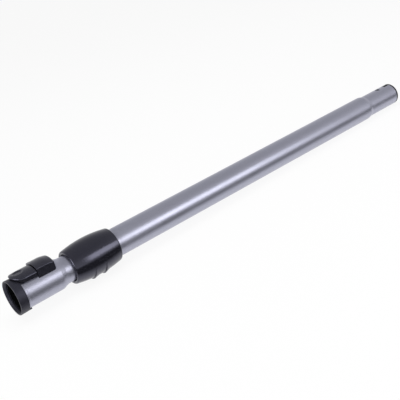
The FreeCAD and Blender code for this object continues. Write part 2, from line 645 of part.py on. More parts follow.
def sleeve_barrel():
    """Hollow barrel of the sleeve before it is parted into its two shells."""
    lip = MOUTH_LIP / 2
    x_lip = x_sleeve + lip
    x_corner = x_sleeve_end - TAIL_CORNER
    outline = round_points(x_lip, r_mouth + lip, lip, 270, 90, 4)
    for i in range(1, CROWN_STEPS):
        x = x_lip + (x_corner - x_lip) * i / CROWN_STEPS
        outline.append((x, sleeve_radius(x)))
    outline += round_points(x_corner, r_tail - TAIL_CORNER, TAIL_CORNER, 90, 0, 2)
    outline += [
        (x_sleeve_end, r_tail_bore), (x_sleeve_end - TAIL_THICKNESS, r_tail_bore),
        (x_stop_ring - ROOM_END, r_room), (x_sleeve + ROOM_START, r_room),
        (x_sleeve + MOUTH_FLANGE, r_mouth + MOUTH_STEP), (x_sleeve + MOUTH_FLANGE, r_mouth)]
    return turned(outline)


def sleeve_radius(x):
    """Outer radius of the sleeve: a long arc through its mouth, its middle and its far end."""
    circle = arc((x_sleeve + MOUTH_LIP / 2, 0, r_mouth + MOUTH_LIP), (x_sleeve_middle, 0, r_crown),
                 (x_sleeve_end - TAIL_CORNER, 0, r_tail)).Curve
    return circle.Center.z + math.sqrt(circle.Radius ** 2 - (x - circle.Center.x) ** 2)


def finger_rib(index):
    """Crescent under the sleeve: a low wedge turned about a line that is set down by its height."""
    x0 = x_sleeve_middle - RIB_START + index * RIB_PITCH
    x1 = x0 + RIB_RISE
    x2 = x1 + RIB_SLOPE
    wedge = turned([(x0, r_neck), (x0, sleeve_radius(x0)), (x1, sleeve_radius(x1)),
                    (x2, sleeve_radius(x2) - RIB_HEIGHT), (x2, r_neck)])
    wedge.translate(V(0, 0, -RIB_HEIGHT))
    return wedge.cut(below(x0 - OVERCUT, x2 + OVERCUT, r_crown, r_crown + RIB_FLAT, 2 * r_crown))


def cam_rib(side):
    """Rib with the sloping slot that draws the lock's cross pin outwards."""
    near = side * CAM_INSIDE
    far = side * (CAM_INSIDE + CAM_WALL)
    y0 = min(near, far)
    y1 = max(near, far)
    rib = box(x_tooth - CAM_FRONT, x_tooth + CAM_REAR, y0, y1, -r_room - CAM_ROOT, -r_rail / 2)
    rib = rib.common(rod_x(x_sleeve, x_sleeve_end, r_room + CAM_ROOT))
    rib = rib.cut(rod_x(x_sleeve, x_sleeve_end, r_neck + SLIDE_GAP))
    radius = CROSS_PIN_D / 2 + CROSS_PIN_GAP
    tilt = math.atan2(LOCK_LIFT, SLEEVE_TRAVEL)
    across_x = radius * math.sin(tilt)
    across_z = radius * math.cos(tilt)
    x_far = x_tooth - SLEEVE_TRAVEL
    z_far = -h_pin - LOCK_LIFT
    slot = prism_y([(x_tooth - across_x, -h_pin + across_z), (x_tooth + across_x, -h_pin - across_z),
                    (x_far + across_x, z_far - across_z), (x_far - across_x, z_far + across_z)], y0, y1)
    pocket = prism_y([(x_tooth + radius, -h_pin), (x_tooth + radius, -r_rail / 2),
                      (x_tooth - radius, -r_rail / 2), (x_tooth - CAM_POCKET, -h_pin)], y0, y1)
    slot = slot.fuse(pocket)
    for x, z in ((x_tooth, -h_pin), (x_far, z_far)):
        slot = slot.fuse(rod_y(x, z, radius, y0, y1))
    return rib.cut(slot)


def spring_lugs():
    """Lugs on both sides of the sleeve that push the return springs."""
    ring = pipe_x(x_lug, x_lug + LUG_LENGTH, r_room + CAM_ROOT, r_neck + SLIDE_GAP)
    return ring.common(box(x_lug, x_lug + LUG_LENGTH, -r_crown, r_crown,
                           z_return_spring - LUG_HALF_HEIGHT, z_return_spring + LUG_HALF_HEIGHT))


def sleeve_lower_shell():
    upper_half = box(x_sleeve - OVERCUT, x_sleeve_end + OVERCUT, -2 * r_crown, 2 * r_crown,
                     PARTING_HEIGHT, 2 * r_crown)
    shell = sleeve_barrel()
    for i in range(RIB_COUNT):
        shell = shell.fuse(finger_rib(i).cut(rod_x(x_sleeve, x_sleeve_end, r_room + CAM_ROOT)))
    shell = shell.cut(upper_half)
    for side in (-1, 1):
        shell = shell.fuse(cam_rib(side))
    return shell.fuse(spring_lugs()).removeSplitter()


def sleeve_upper_shell():
    lower_half = box(x_sleeve - OVERCUT, x_sleeve_end + OVERCUT, -2 * r_crown, 2 * r_crown,
                     -2 * r_crown, PARTING_HEIGHT)
    shell = sleeve_barrel().cut(lower_half)
    for station in TAB_STATIONS:
        x0 = x_sleeve + station
        band = pipe_x(x0, x0 + TAB_LENGTH, r_room - SEAT_GAP, r_room - TAB_WALL)
        tab = band.common(box(x0, x0 + TAB_LENGTH, -r_crown, r_crown,
                              PARTING_HEIGHT - TAB_DROP, PARTING_HEIGHT + TAB_RISE))
        root = pipe_x(x0, x0 + TAB_LENGTH, r_room + CAM_ROOT, r_room - TAB_WALL)
        root = root.common(box(x0, x0 + TAB_LENGTH, -r_crown, r_crown,
                               PARTING_HEIGHT, PARTING_HEIGHT + TAB_RISE))
        shell = shell.fuse(tab).fuse(root)
    return shell.removeSplitter()


def main():
    os.makedirs("parts", exist_ok=True)
    nodes = {
        "outer_tube": outer_tube(),
        "spigot_end_ring": spigot_end_ring(),
        "guide_bush": guide_bush(),
        "dust_wiper": dust_wiper(),
        "spring_stop_ring": spring_stop_ring(),
        "return_spring_left": return_spring(-1),
        "return_spring_right": return_spring(1),
        "lock_leaf_spring": lock_leaf_spring(),
        "lock_tooth": lock_tooth(),
        "lock_cross_pin": lock_cross_pin(),
        "sleeve_lower_shell": sleeve_lower_shell(),
        "sleeve_upper_shell": sleeve_upper_shell(),
        "inner_tube": inner_tube(),
        "detent_rail": detent_rail(),
        "slide_bush": slide_bush(),
        "end_collar": end_collar(),
        "latch_cover": latch_cover(),
        "latch_axle": latch_axle(),
        "latch_lever": latch_lever(),
        "latch_leaf_spring": latch_leaf_spring(),
    }
    for name, shape in nodes.items():
        shape.exportStep("parts/" + name + ".step")
        print(name, len(shape.Solids), "solid", round(shape.Volume, 1), "mm3", shape.isValid())
    print("travel", travel, "length", round(x_end, 2))


main()
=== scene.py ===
import math

import bmesh
import bpy
from mathutils import Euler, Matrix, Vector


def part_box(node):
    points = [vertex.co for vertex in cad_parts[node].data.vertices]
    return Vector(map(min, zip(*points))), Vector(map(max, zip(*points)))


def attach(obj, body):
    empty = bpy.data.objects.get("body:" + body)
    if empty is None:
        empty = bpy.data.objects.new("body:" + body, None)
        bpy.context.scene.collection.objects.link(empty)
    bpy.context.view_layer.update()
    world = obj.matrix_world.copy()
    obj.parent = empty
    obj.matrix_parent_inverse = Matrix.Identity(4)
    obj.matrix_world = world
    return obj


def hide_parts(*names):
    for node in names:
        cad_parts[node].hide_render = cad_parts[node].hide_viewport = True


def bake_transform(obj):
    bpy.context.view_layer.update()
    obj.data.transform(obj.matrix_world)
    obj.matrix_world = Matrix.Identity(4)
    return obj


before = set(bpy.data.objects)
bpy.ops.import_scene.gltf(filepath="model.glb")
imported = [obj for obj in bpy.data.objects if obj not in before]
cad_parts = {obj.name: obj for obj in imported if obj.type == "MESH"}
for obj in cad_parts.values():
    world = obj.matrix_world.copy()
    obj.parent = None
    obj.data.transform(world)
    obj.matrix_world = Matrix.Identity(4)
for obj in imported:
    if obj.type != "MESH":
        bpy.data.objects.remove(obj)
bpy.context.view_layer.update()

# Telescopic vacuum wand. Lengths are in millimetres until a piece is finished. X runs along the wand
# from the mouth of the hose socket to the nozzle spigot, Z is up and the latch is on top.
# An outline is a list of (x, radius, rounding) corners, and a box is (x0, x1, y0, y1, z0, z1).

ROUND_STEPS = 160          # facets round a turned piece
SHARP_ANGLE = 32           # edges that turn by more degrees than this stay hard
INSIDE = 10.0              # a cut through a tube's wall runs from this far off the axis
OUTSIDE = 20.0             # to this far

# Camera
CAMERA_TILT = 38.9         # degrees below level
CAMERA_HEADING = -40.98    # degrees
CAMERA_ROLL = 22.0         # degrees by which the view is turned about the wand's axis
CAMERA_ANGLE = 30.16       # field of view in degrees
CAMERA_PLACE = (0.20628, 0.10819, 0.81432)   # from the origin along the camera's own axes, in metres

# Tubes
WALL = 0.8
TUBE_EDGE = 0.2            # rounding of a cut end
R_INNER = 16.0
R_OUTER = 17.5
R_SWAGED = 17.1            # outer tube under the sleeve
R_SPIGOT = 15.8
R_SOCKET = 18.85
R_SOCKET_REAR = 18.6
X_RIM = 5.05
X_TAPER = 26.0             # the socket narrows from here to its shoulder
X_SHOULDER = 57.0
X_NECK = 64.5
X_INNER_END = 595.95
X_OPEN_END = 87.95
X_CONE = 138.5             # start of the cone from the swaged end to the body
X_BODY = 142.6
X_BODY_END = 598.0
X_SPIGOT = 602.5
X_SPIGOT_END = 660.6       # edge of the steel against the end ring's flange
X_END = 663.5
SOFT_BEND = 0.8            # roundings of the swage cone and of the socket's shoulder
NECK_BEND = 1.6
BODY_BEND = 2.2
SPIGOT_BEND = 2.0
CATCH_HOLE_X = 636.5
CATCH_HOLE_R = 3.0
CATCH_HOLE_STRETCH = 0.75  # each half of the hole is moved sideways by this much
CHANNEL_START = 72.0       # detent channel under the sliding tube
CHANNEL_END = 547.2
CHANNEL_HALF = 4.7
CHANNEL_FLOOR = -13.0
CHANNEL_FOOT = -15.5       # its walls end here, inside the tube's wall
CATCH_WINDOW = (41.9, 48.7, -4.1, 4.1, INSIDE, OUTSIDE)
X_RING = 649.5             # inner end of the ring in the spigot
R_RING = 14.95
R_RING_BORE = 14.2
X_TONGUE = 650.5
X_TONGUE_END = 662.0
R_TONGUE_ROOT = 14.3
TONGUE_HALF = 3.0
TONGUE_SLOT = (650.45, X_END, -3.05, 3.05, INSIDE, OUTSIDE)

# Sleeve
X_MOUTH = 72.6
X_TAIL = 135.5
R_MOUTH = 16.8
BEAD = 2.1                 # radius of the bead round the mouth
R_CROWN = 24.2
R_TAIL = 21.4
TAIL_ROUND = 2.2
SLEEVE_INSIDE = ((X_TAIL, 17.8), (133.0, 17.8), (122.7, 21.4), (88.6, 21.4), (74.8, 19.5), (74.8, R_MOUTH))
SEAM_HEIGHT = 0.0
SEAM_GAP = 0.08            # each shell stays this far from the seam
SEAM_EDGE = 0.3
RIB_STATIONS = (95.05, 110.05)
RIB_DROP = 1.75
RIB_CREST = 0.4            # width of the rib's top
RIB_LENGTH = 8.4
RIB_ROOT_FRONT = 22.4      # roots inside the sleeve's wall
RIB_ROOT_REAR = 22.0
RIB_SPREAD = 75            # degrees to each side of the bottom line
REST_LEVEL = -25.4         # flats of the finger ribs, on which the wand lies

# Collar, and the hem of the socket behind it
R_COLLAR = 21.05
R_COLLAR_END = 20.7
R_COLLAR_BORE = 18.05
COLLAR_END = 10.6
COLLAR_STOP = 5.0          # the socket's rim stands against this face
R_LEAD_IN = 19.4
LEAD_IN = 3.0
R_HEM = 19.6
R_HEM_SEAT = 19.65
R_HEM_HIDDEN = 19.3        # under the collar
R_HEM_REAR = 19.45
X_HEM_RISE = COLLAR_END - 0.2
X_HEM_TOP = COLLAR_END + 0.5
X_HEM = 12.55
X_HEM_RUNOUT = 13.15
HEM_BEND = 0.5
R_SADDLE = 20.3
R_SADDLE_SEAT = 18.95
SADDLE_HALF = 13.0
SADDLE_FRONT = 13.1
BRIDGE_START = 10.0        # saddle and clips grow out of the collar here
BRIDGE_END = 13.5
R_BRIDGE = 19.7            # clear of the hem
R_CLIP = 20.6
R_HOOK = 19.0
CLIP_END = 13.8
HOOK_START = 13.2
CLIP_HALF_ANGLE = math.asin(3.0 / 20.0)
CLIP_TURN = 25             # degrees from the bottom line

# Latch
LEVER_TIP = 5.0
LEVER_NOSE = 12.5
LEVER_REAR = 31.8
LEVER_TOP = 25.0           # radius of the top about the wand's axis
LEVER_HALF = 13.8
LEVER_RIM = 1.2            # rounding of the top's edge
LEVER_MIN = 0.5            # least thickness
NOSE_FALL = 0.8
SCOOP_X = 15.5
SCOOP_HALF_LENGTH = 7.2
SCOOP_HALF_WIDTH = 6.0
SCOOP_DEPTH = 1.7
SCOOP_SLOPE = 0.55         # share of the scoop that its sloping side takes up
LEVER_POCKET = (13.9, 29.0, -2.75, 2.75, 15.0, 22.85)
LEVER_TAIL = (30.0, 48.1, -4.6, 4.6, 20.8, 22.15)
LEVER_CATCH = (43.6, 47.5, -3.8, 3.8, 16.85, 21.7)
LEVER_EDGE = 0.3
AXLE_X = 28.0
PRESS_CLEARANCE = 0.45
PRESS_SLOPE = math.tan(math.radians(4))      # of the lever when it is pressed
COVER_FRONT = 32.6
COVER_REAR = 55.4
COVER_TOP = 27.3           # radius of the top about the wand's axis
COVER_HALF = 14.2
COVER_CORNER = 3.0
COVER_SEAT = 18.9          # radius of the foot on the socket
COVER_WALL = 1.6
COVER_ROOF = 2.0
COVER_HOLLOW_FOOT = 8      # flat foot of the cutter that hollows it
COVER_FALL = 1.8           # fall of the top towards the rear
COVER_FALL_LENGTH = 10
COVER_DROP = 1.3           # rounding over the rear edge
COVER_DROP_LENGTH = 1.6
COVER_DRAFT = 0.3          # how far the sides lean in
COVER_EDGE = 0.9
COVER_FOOT_LEVEL = 20.0    # edges below this stay sharp

# Leaf springs
LEAF = 0.39                # thickness
LEAF_CUTS = 47
LATCH_LEAF_BEND = 20.25
LATCH_LEAF_RISE = 2.0
LOCK_LEAF_CLAMP = 96.6

# Light. Spans on the floor are in metres
FILL = 0.45                # light on the object from all round
CEILING = (0.8, 0.43)      # brightness in reflections, low down and overhead
CEILING_HEIGHTS = (0.2, 0.8)
FLOOR_WHITE = 0.9          # share of plain white in the floor as the camera sees it
FLOOR_GREY = 0.86
FLOOR_HALF = 6.0
FLAG_SPAN = (-0.4, 0.004)  # across the floor in front of the wand
FLAG = ((0.2, 1.0), (0.3, 0.1), (0.875, 0.1), (0.93, 1.0))   # share of the span, brightness in reflections
WHITE = (1, 1, 1, 1)


# Camera

def place_camera():
    """Looks along the wand from its socket end, from the left and a little from above."""
    tilted = Euler((math.radians(90 - CAMERA_TILT), 0, math.radians(CAMERA_HEADING))).to_matrix()
    turn = Matrix.Rotation(math.radians(CAMERA_ROLL), 3, "X") @ tilted
    lens = bpy.data.cameras.new("camera")
    lens.angle = math.radians(CAMERA_ANGLE)
    camera = bpy.data.objects.new("camera", lens)
    bpy.context.scene.collection.objects.link(camera)
    camera.rotation_euler = turn.to_euler()
    camera.location = turn @ Vector(CAMERA_PLACE)
    bpy.context.scene.camera = camera


# Materials

def linear(hex_colour):
    """sRGB hex to the linear colour that a shader takes."""
    shares = [int(hex_colour[i:i + 2], 16) / 255 for i in (1, 3, 5)]
    curved = [s / 12.92 if s <= 0.04045 else ((s + 0.055) / 1.055) ** 2.4 for s in shares]
    return (*curved, 1.0)


def add(tree, kind, links=None, values=None, **settings):
    """Adds a node, sets its properties and input values, and links other nodes' outputs to it."""
    node = tree.nodes.new(kind)
    for key, value in settings.items():
        setattr(node, key, value)
    for socket, value in (values or {}).items():
        node.inputs[socket].default_value = value
    for socket, source in (links or {}).items():
        tree.links.new(source, node.inputs[socket])
    return node


def two_tone(tree, share, dark, light, low=0.0, high=1.0):
    """Colour that runs from one sRGB hex colour to another between two shares of a pattern."""
    ramp = add(tree, "ShaderNodeValToRGB", {"Fac": share})
    for stop, place, colour in zip(ramp.color_ramp.elements, (low, high), (dark, light)):
        stop.position = place
        stop.color = linear(colour)
    return ramp.outputs["Color"]


def per_metre(size_mm):
    """Scale of a noise texture whose features are about this many millimetres across."""
    return 1000 / size_mm


def new_material(name):
    """Empty node material with a Principled shader, and the shader's own inputs to set."""
    material = bpy.data.materials.new(name)
    material.use_nodes = True
    tree = material.node_tree
    tree.nodes.clear()
    shader = add(tree, "ShaderNodeBsdfPrincipled")
    add(tree, "ShaderNodeOutputMaterial", links={"Surface": shader.outputs["BSDF"]})
    return material, tree, shader


def silver_lacquer_on_steel():
    """Drawn steel tube with a satin silver lacquer: metal flake gives a soft sheen with a fine sparkle."""
    material, tree, shader = new_material("silver_lacquer_on_steel")
    where = add(tree, "ShaderNodeTexCoord").outputs["Object"]
    flake = add(tree, "ShaderNodeTexNoise", {"Vector": where},
                {"Scale": per_metre(1.1), "Detail": 3.0, "Roughness": 0.7})
    cloud = add(tree, "ShaderNodeTexNoise", {"Vector": where},
                {"Scale": per_metre(45), "Detail": 2.0})
    colour = two_tone(tree, flake.outputs["Fac"], "#a6a7b7", "#b2b3c3", 0.3, 0.72)
    rough = add(tree, "ShaderNodeMapRange", {"Value": cloud.outputs["Fac"]},
                {"From Min": 0.3, "From Max": 0.7, "To Min": 0.33, "To Max": 0.38})
    peel = add(tree, "ShaderNodeBump", {"Height": flake.outputs["Fac"]},
               {"Strength": 0.08, "Distance": 0.0002})
    tree.links.new(colour, shader.inputs["Base Color"])
    tree.links.new(rough.outputs["Result"], shader.inputs["Roughness"])
    tree.links.new(peel.outputs["Normal"], shader.inputs["Normal"])
    shader.inputs["Metallic"].default_value = 0.85
    return material


def moulded_plastic(name, dark, light, grain_mm, relief, rough, shine=0.5):
    """Moulded plastic with an eroded grain, whose hollows are a little darker and smoother."""
    material, tree, shader = new_material(name)
    where = add(tree, "ShaderNodeTexCoord").outputs["Object"]
    grain = add(tree, "ShaderNodeTexNoise", {"Vector": where},
                {"Scale": per_metre(grain_mm), "Detail": 4.0, "Roughness": 0.65})
    colour = two_tone(tree, grain.outputs["Fac"], dark, light, 0.3, 0.7)
    dullness = add(tree, "ShaderNodeMapRange", {"Value": grain.outputs["Fac"]},
                   {"From Min": 0.3, "From Max": 0.7, "To Min": rough[0], "To Max": rough[1]})
    bump = add(tree, "ShaderNodeBump", {"Height": grain.outputs["Fac"]},
               {"Strength": relief, "Distance": 0.0003})
    tree.links.new(colour, shader.inputs["Base Color"])
    tree.links.new(dullness.outputs["Result"], shader.inputs["Roughness"])
    tree.links.new(bump.outputs["Normal"], shader.inputs["Normal"])
    shader.inputs["Specular IOR Level"].default_value = shine
    shader.inputs["Specular Tint"].default_value = linear("#e2e2ff")
    return material


def spring_steel():
    """Drawn spring wire and strip: bright steel with fine draw marks along the wand."""
    material, tree, shader = new_material("spring_steel")
    where = add(tree, "ShaderNodeTexCoord").outputs["Object"]
    along = add(tree, "ShaderNodeMapping", {"Vector": where}, {"Scale": (0.1, 1, 1)})
    marks = add(tree, "ShaderNodeTexNoise", {"Vector": along.outputs["Vector"]},
                {"Scale": per_metre(0.5), "Detail": 2.0})
    rough = add(tree, "ShaderNodeMapRange", {"Value": marks.outputs["Fac"]},
                {"To Min": 0.2, "To Max": 0.42})
    tree.links.new(rough.outputs["Result"], shader.inputs["Roughness"])
    shader.inputs["Base Color"].default_value = linear("#b9bbbe")
    shader.inputs["Metallic"].default_value = 1.0
    return material


def steel_bore_painted_shade():
    """Inside of the tubes: uncoated steel, painted near black as the shade deep in the bore, with a faint
    random tone.
    """
    material, tree, shader = new_material("steel_bore_painted_shade")
    where = add(tree, "ShaderNodeTexCoord").outputs["Object"]
    bore_tone = add(tree, "ShaderNodeTexNoise", {"Vector": where}, {"Scale": per_metre(6), "Detail": 4.0})
    # near-black colour is painted shade of the deep bore, not the steel's own colour
    colour = two_tone(tree, bore_tone.outputs["Fac"], "#020203", "#060607")
    tree.links.new(colour, shader.inputs["Base Color"])
    shader.inputs["Specular IOR Level"].default_value = 0.1
    shader.inputs["Roughness"].default_value = 0.8
    return material


# Mesh tools

def outline_wire(bm, corners):
    """Closed wire of an outline in the plane of the axis."""
    verts = [bm.verts.new((x, 0, r)) for x, r, _ in corners]
    for a, b in zip(verts, verts[1:] + verts[:1]):
        bm.edges.new((a, b))
    for vert, (_, _, rounding) in zip(verts, corners):
        if rounding:
            bmesh.ops.bevel(bm, geom=[vert], offset=rounding, offset_type="OFFSET", segments=5,
                            profile=0.5, affect="VERTICES", material=-1)


def spin_round(bm):
    """Spins everything in the mesh once round the wand."""
    bmesh.ops.spin(bm, geom=bm.verts[:] + bm.edges[:], cent=(0, 0, 0), axis=(1, 0, 0), angle=math.tau,
                   steps=ROUND_STEPS, use_merge=True)
    bmesh.ops.remove_doubles(bm, verts=bm.verts, dist=1e-4)
    bmesh.ops.recalc_face_normals(bm, faces=bm.faces)


def turned(corners):
    bm = bmesh.new()
    outline_wire(bm, corners)
    spin_round(bm)
    return bm


def sector(corners, half_angle, middle):
    """Outline spun through part of a turn, to both sides of a middle angle from the top, and closed."""
    bm = bmesh.new()
    outline_wire(bm, corners)
    face = bmesh.ops.contextual_create(bm, geom=bm.edges)["faces"]
    bmesh.ops.rotate(bm, verts=bm.verts, cent=(0, 0, 0), matrix=Matrix.Rotation(middle - half_angle, 3, "X"))
    geom = face + bm.verts[:] + bm.edges[:]
    steps = max(6, int(ROUND_STEPS * half_angle / math.pi))
    bmesh.ops.spin(bm, geom=geom, cent=(0, 0, 0), axis=(1, 0, 0), angle=2 * half_angle, steps=steps)
    bmesh.ops.remove_doubles(bm, verts=bm.verts, dist=1e-4)
    bmesh.ops.recalc_face_normals(bm, faces=bm.faces)
    return bm


def block(x0, x1, y0, y1, z0, z1, edge=0.0):
    bm = bmesh.new()
    bmesh.ops.create_cube(bm, size=1)
    bmesh.ops.scale(bm, vec=(x1 - x0, y1 - y0, z1 - z0), verts=bm.verts)
    bmesh.ops.translate(bm, vec=((x0 + x1) / 2, (y0 + y1) / 2, (z0 + z1) / 2), verts=bm.verts)
    if edge:
        bmesh.ops.bevel(bm, geom=bm.edges, offset=edge, offset_type="OFFSET", segments=3, profile=0.5,
                        affect="EDGES", material=-1)
    return bm


def add_to(bm, other):
    """Adds another mesh as it is."""
    mesh = bpy.data.meshes.new("part")
    other.to_mesh(mesh)
    other.free()
    bm.from_mesh(mesh)
    bpy.data.meshes.remove(mesh)


def cut_away(bm, tool):
    """Takes a closed mesh out of a closed mesh."""
    pair = []
    for part in (bm, tool):
        mesh = bpy.data.meshes.new("part")
        part.to_mesh(mesh)
        pair.append(bpy.data.objects.new("part", mesh))
        bpy.context.scene.collection.objects.link(pair[-1])
    cut = pair[0].modifiers.new("cut", "BOOLEAN")
    cut.operation = "DIFFERENCE"
    cut.solver = "EXACT"
    cut.object = pair[1]
    evaluated = pair[0].evaluated_get(bpy.context.evaluated_depsgraph_get())
    result = bpy.data.meshes.new_from_object(evaluated)
    bm.clear()
    bm.from_mesh(result)
    tool.free()
    for obj in pair:
        mesh = obj.data
        bpy.data.objects.remove(obj)
        bpy.data.meshes.remove(mesh)
    bpy.data.meshes.remove(result)


def sharp_edges(bm, degrees):
    return [e for e in bm.edges if len(e.link_faces) == 2 and e.calc_face_angle(0) > math.radians(degrees)]


def bevel(bm, edges, offset, segments):
    bmesh.ops.bevel(bm, geom=edges, offset=offset, offset_type="OFFSET", segments=segments, profile=0.5,
                    affect="EDGES", clamp_overlap=True, material=-1)


def paint_bore(bm):
    """Gives the faces that look towards the axis the second material, the bore's painted shade."""
    for face in bm.faces:
        centre = face.calc_center_median()
        if face.normal.y * centre.y + face.normal.z * centre.z < -1:
            face.material_index = 1


def finish_piece(name, bm, body, materials, nodes):
    """Makes a mesh in millimetres a piece that stands for CAD nodes, on a body if one is given."""
    for face in bm.faces:
        face.smooth = True
    for edge in sharp_edges(bm, SHARP_ANGLE):
        edge.smooth = False
    bmesh.ops.scale(bm, vec=(0.001, 0.001, 0.001), verts=bm.verts)
    mesh = bpy.data.meshes.new(name)
    bm.to_mesh(mesh)
    bm.free()
    for material in materials:
        mesh.materials.append(material)
    obj = bpy.data.objects.new(name, mesh)
    bpy.context.scene.collection.objects.link(obj)
    obj.modifiers.new("flat_faces", "WEIGHTED_NORMAL").keep_sharp = True
    if body:
        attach(obj, body)
    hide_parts(*nodes)
    return obj


# Tubes

def outer_tube(materials):
    """Outer tube with its swaged end, shoulder and spigot, the catch hole and the slot of the end ring."""
    bm = turned([
        (X_OPEN_END, R_SWAGED, TUBE_EDGE), (X_CONE, R_SWAGED, SOFT_BEND), (X_BODY, R_OUTER, SOFT_BEND),
        (X_BODY_END, R_OUTER, BODY_BEND), (X_SPIGOT, R_SPIGOT, SPIGOT_BEND),
        (X_SPIGOT_END, R_SPIGOT, TUBE_EDGE), (X_SPIGOT_END, R_SPIGOT - WALL, TUBE_EDGE),
        (X_SPIGOT, R_SPIGOT - WALL, SPIGOT_BEND), (X_BODY_END, R_OUTER - WALL, BODY_BEND),
        (X_BODY, R_OUTER - WALL, SOFT_BEND), (X_CONE, R_SWAGED - WALL, SOFT_BEND),
        (X_OPEN_END, R_SWAGED - WALL, TUBE_EDGE)])
    paint_bore(bm)
    cut_away(bm, catch_hole())
    cut_away(bm, block(*TONGUE_SLOT))
    finish_piece("outer_tube_shell", bm, "outer", materials, ["outer_tube"])


def catch_hole():
    """Long hole across the top of the spigot: a round cutter drawn out sideways."""
    bm = bmesh.new()
    bmesh.ops.create_cone(bm, cap_ends=True, segments=48, radius1=CATCH_HOLE_R, radius2=CATCH_HOLE_R,
                          depth=OUTSIDE - INSIDE)
    for vert in bm.verts:
        vert.co.y += math.copysign(CATCH_HOLE_STRETCH, vert.co.y) if abs(vert.co.y) > 1e-6 else 0
    bmesh.ops.translate(bm, vec=(CATCH_HOLE_X, 0, (INSIDE + OUTSIDE) / 2), verts=bm.verts)
    return bm


def inner_tube(materials):
    """Sliding tube with the hose socket, the hem on its mouth and the detent channel below."""
    bm = turned([
        (X_RIM, R_HEM_HIDDEN, 0.3), (X_HEM_RISE, R_HEM_HIDDEN, 0), (X_HEM_TOP, R_HEM, HEM_BEND),
        (X_HEM, R_HEM_REAR, HEM_BEND), (X_HEM_RUNOUT, R_SOCKET, TUBE_EDGE), (X_TAPER, R_SOCKET, 0),
        (X_SHOULDER, R_SOCKET_REAR, SOFT_BEND), (X_NECK, R_INNER, NECK_BEND),
        (X_INNER_END, R_INNER, TUBE_EDGE), (X_INNER_END, R_INNER - WALL, TUBE_EDGE),
        (X_NECK, R_INNER - WALL, NECK_BEND), (X_SHOULDER, R_SOCKET_REAR - WALL, SOFT_BEND),
        (X_TAPER, R_SOCKET - WALL, 0), (X_RIM, R_SOCKET - WALL, 0.3)])
    paint_bore(bm)
    channel = (CHANNEL_START, CHANNEL_END, -CHANNEL_HALF, CHANNEL_HALF)
    cut_away(bm, block(*channel, -OUTSIDE, -INSIDE))
    cut_away(bm, block(*CATCH_WINDOW))
    trough = block(CHANNEL_START - WALL, CHANNEL_END + WALL, -CHANNEL_HALF - WALL, CHANNEL_HALF + WALL,
                   CHANNEL_FOOT, CHANNEL_FLOOR + WALL)
    cut_away(trough, block(*channel, -OUTSIDE, CHANNEL_FLOOR))
    add_to(bm, trough)
    finish_piece("inner_tube_shell", bm, "inner", materials, ["inner_tube"])


def spigot_end_ring(material):
    """Plastic ring in the end of the spigot, with a tongue on top."""
    bm = turned([
        (X_RING, R_RING, 0.2), (X_SPIGOT_END, R_RING, 0), (X_SPIGOT_END, R_SPIGOT, 0),
        (X_END, R_SPIGOT, 0.5), (X_END, R_RING_BORE, 0.4), (X_RING, R_RING_BORE, 0.2)])
    tongue = [(X_TONGUE, R_TONGUE_ROOT, 0), (X_TONGUE, R_SPIGOT, 0.4), (X_TONGUE_END, R_SPIGOT, 0),
              (X_TONGUE_END, R_TONGUE_ROOT, 0)]
    add_to(bm, sector(tongue, math.asin(TONGUE_HALF / R_SPIGOT), 0))
    finish_piece("spigot_end_ring_moulding", bm, "outer", [material], ["spigot_end_ring"])


# Sleeve

def arc_centre(a, b, c):
    """Centre of the circle through three (x, radius) points."""
    d = 2 * (a[0] * (b[1] - c[1]) + b[0] * (c[1] - a[1]) + c[0] * (a[1] - b[1]))
    squares = [p[0] ** 2 + p[1] ** 2 for p in (a, b, c)]
    x = (squares[0] * (b[1] - c[1]) + squares[1] * (c[1] - a[1]) + squares[2] * (a[1] - b[1])) / d
    r = (squares[0] * (c[0] - b[0]) + squares[1] * (a[0] - c[0]) + squares[2] * (b[0] - a[0])) / d
    return x, r


def sweep(bm, vert, centre, angle, steps):
    """Draws an arc on from a vertex in the plane of the axis, and gives the vertex at its end."""
    made = bmesh.ops.spin(bm, geom=[vert], cent=(centre[0], 0, centre[1]), axis=(0, 1, 0), angle=angle,
                          steps=steps)
    return made["geom_last"][0]


CROWN_START = (X_MOUTH + BEAD, R_MOUTH + 2 * BEAD)
CROWN_END = (X_TAIL - TAIL_ROUND, R_TAIL)
CROWN = arc_centre(CROWN_START, ((X_MOUTH + X_TAIL) / 2, R_CROWN), CROWN_END)
CROWN_R = math.hypot(CROWN_START[0] - CROWN[0], CROWN_START[1] - CROWN[1])


def crown_radius(x):
    return CROWN[1] + math.sqrt(CROWN_R ** 2 - (x - CROWN[0]) ** 2)


def sleeve_barrel():
    """Barrel with a bead round its mouth, a long crowned back and a rounded tail."""
    bm = bmesh.new()
    start = bm.verts.new((X_MOUTH + BEAD, 0, R_MOUTH))
    vert = sweep(bm, start, (X_MOUTH + BEAD, R_MOUTH + BEAD), math.pi, 12)
    turn = math.asin((CROWN_END[0] - CROWN[0]) / CROWN_R) - math.asin((CROWN_START[0] - CROWN[0]) / CROWN_R)
    vert = sweep(bm, vert, CROWN, turn, 48)
    vert = sweep(bm, vert, (X_TAIL - TAIL_ROUND, R_TAIL - TAIL_ROUND), math.pi / 2, 8)
    for x, r in SLEEVE_INSIDE:
        step = bm.verts.new((x, 0, r))
        bm.edges.new((vert, step))
        vert = step
    bm.edges.new((vert, start))
    spin_round(bm)
    return bm


def part_shell(bm, height, keep_above):
    """Keeps the barrel above or below the parting plane, closes it and breaks the edges of the joint."""
    bmesh.ops.bisect_plane(bm, geom=bm.verts[:] + bm.edges[:] + bm.faces[:], plane_co=(0, 0, height),
                           plane_no=(0, 0, 1), clear_inner=keep_above, clear_outer=not keep_above)
    open_edges = [e for e in bm.edges if e.is_boundary]
    closed = bmesh.ops.holes_fill(bm, edges=open_edges, sides=0)["faces"]
    bmesh.ops.recalc_face_normals(bm, faces=bm.faces)
    bevel(bm, list({e for f in closed for e in f.edges}), SEAM_EDGE, 2)


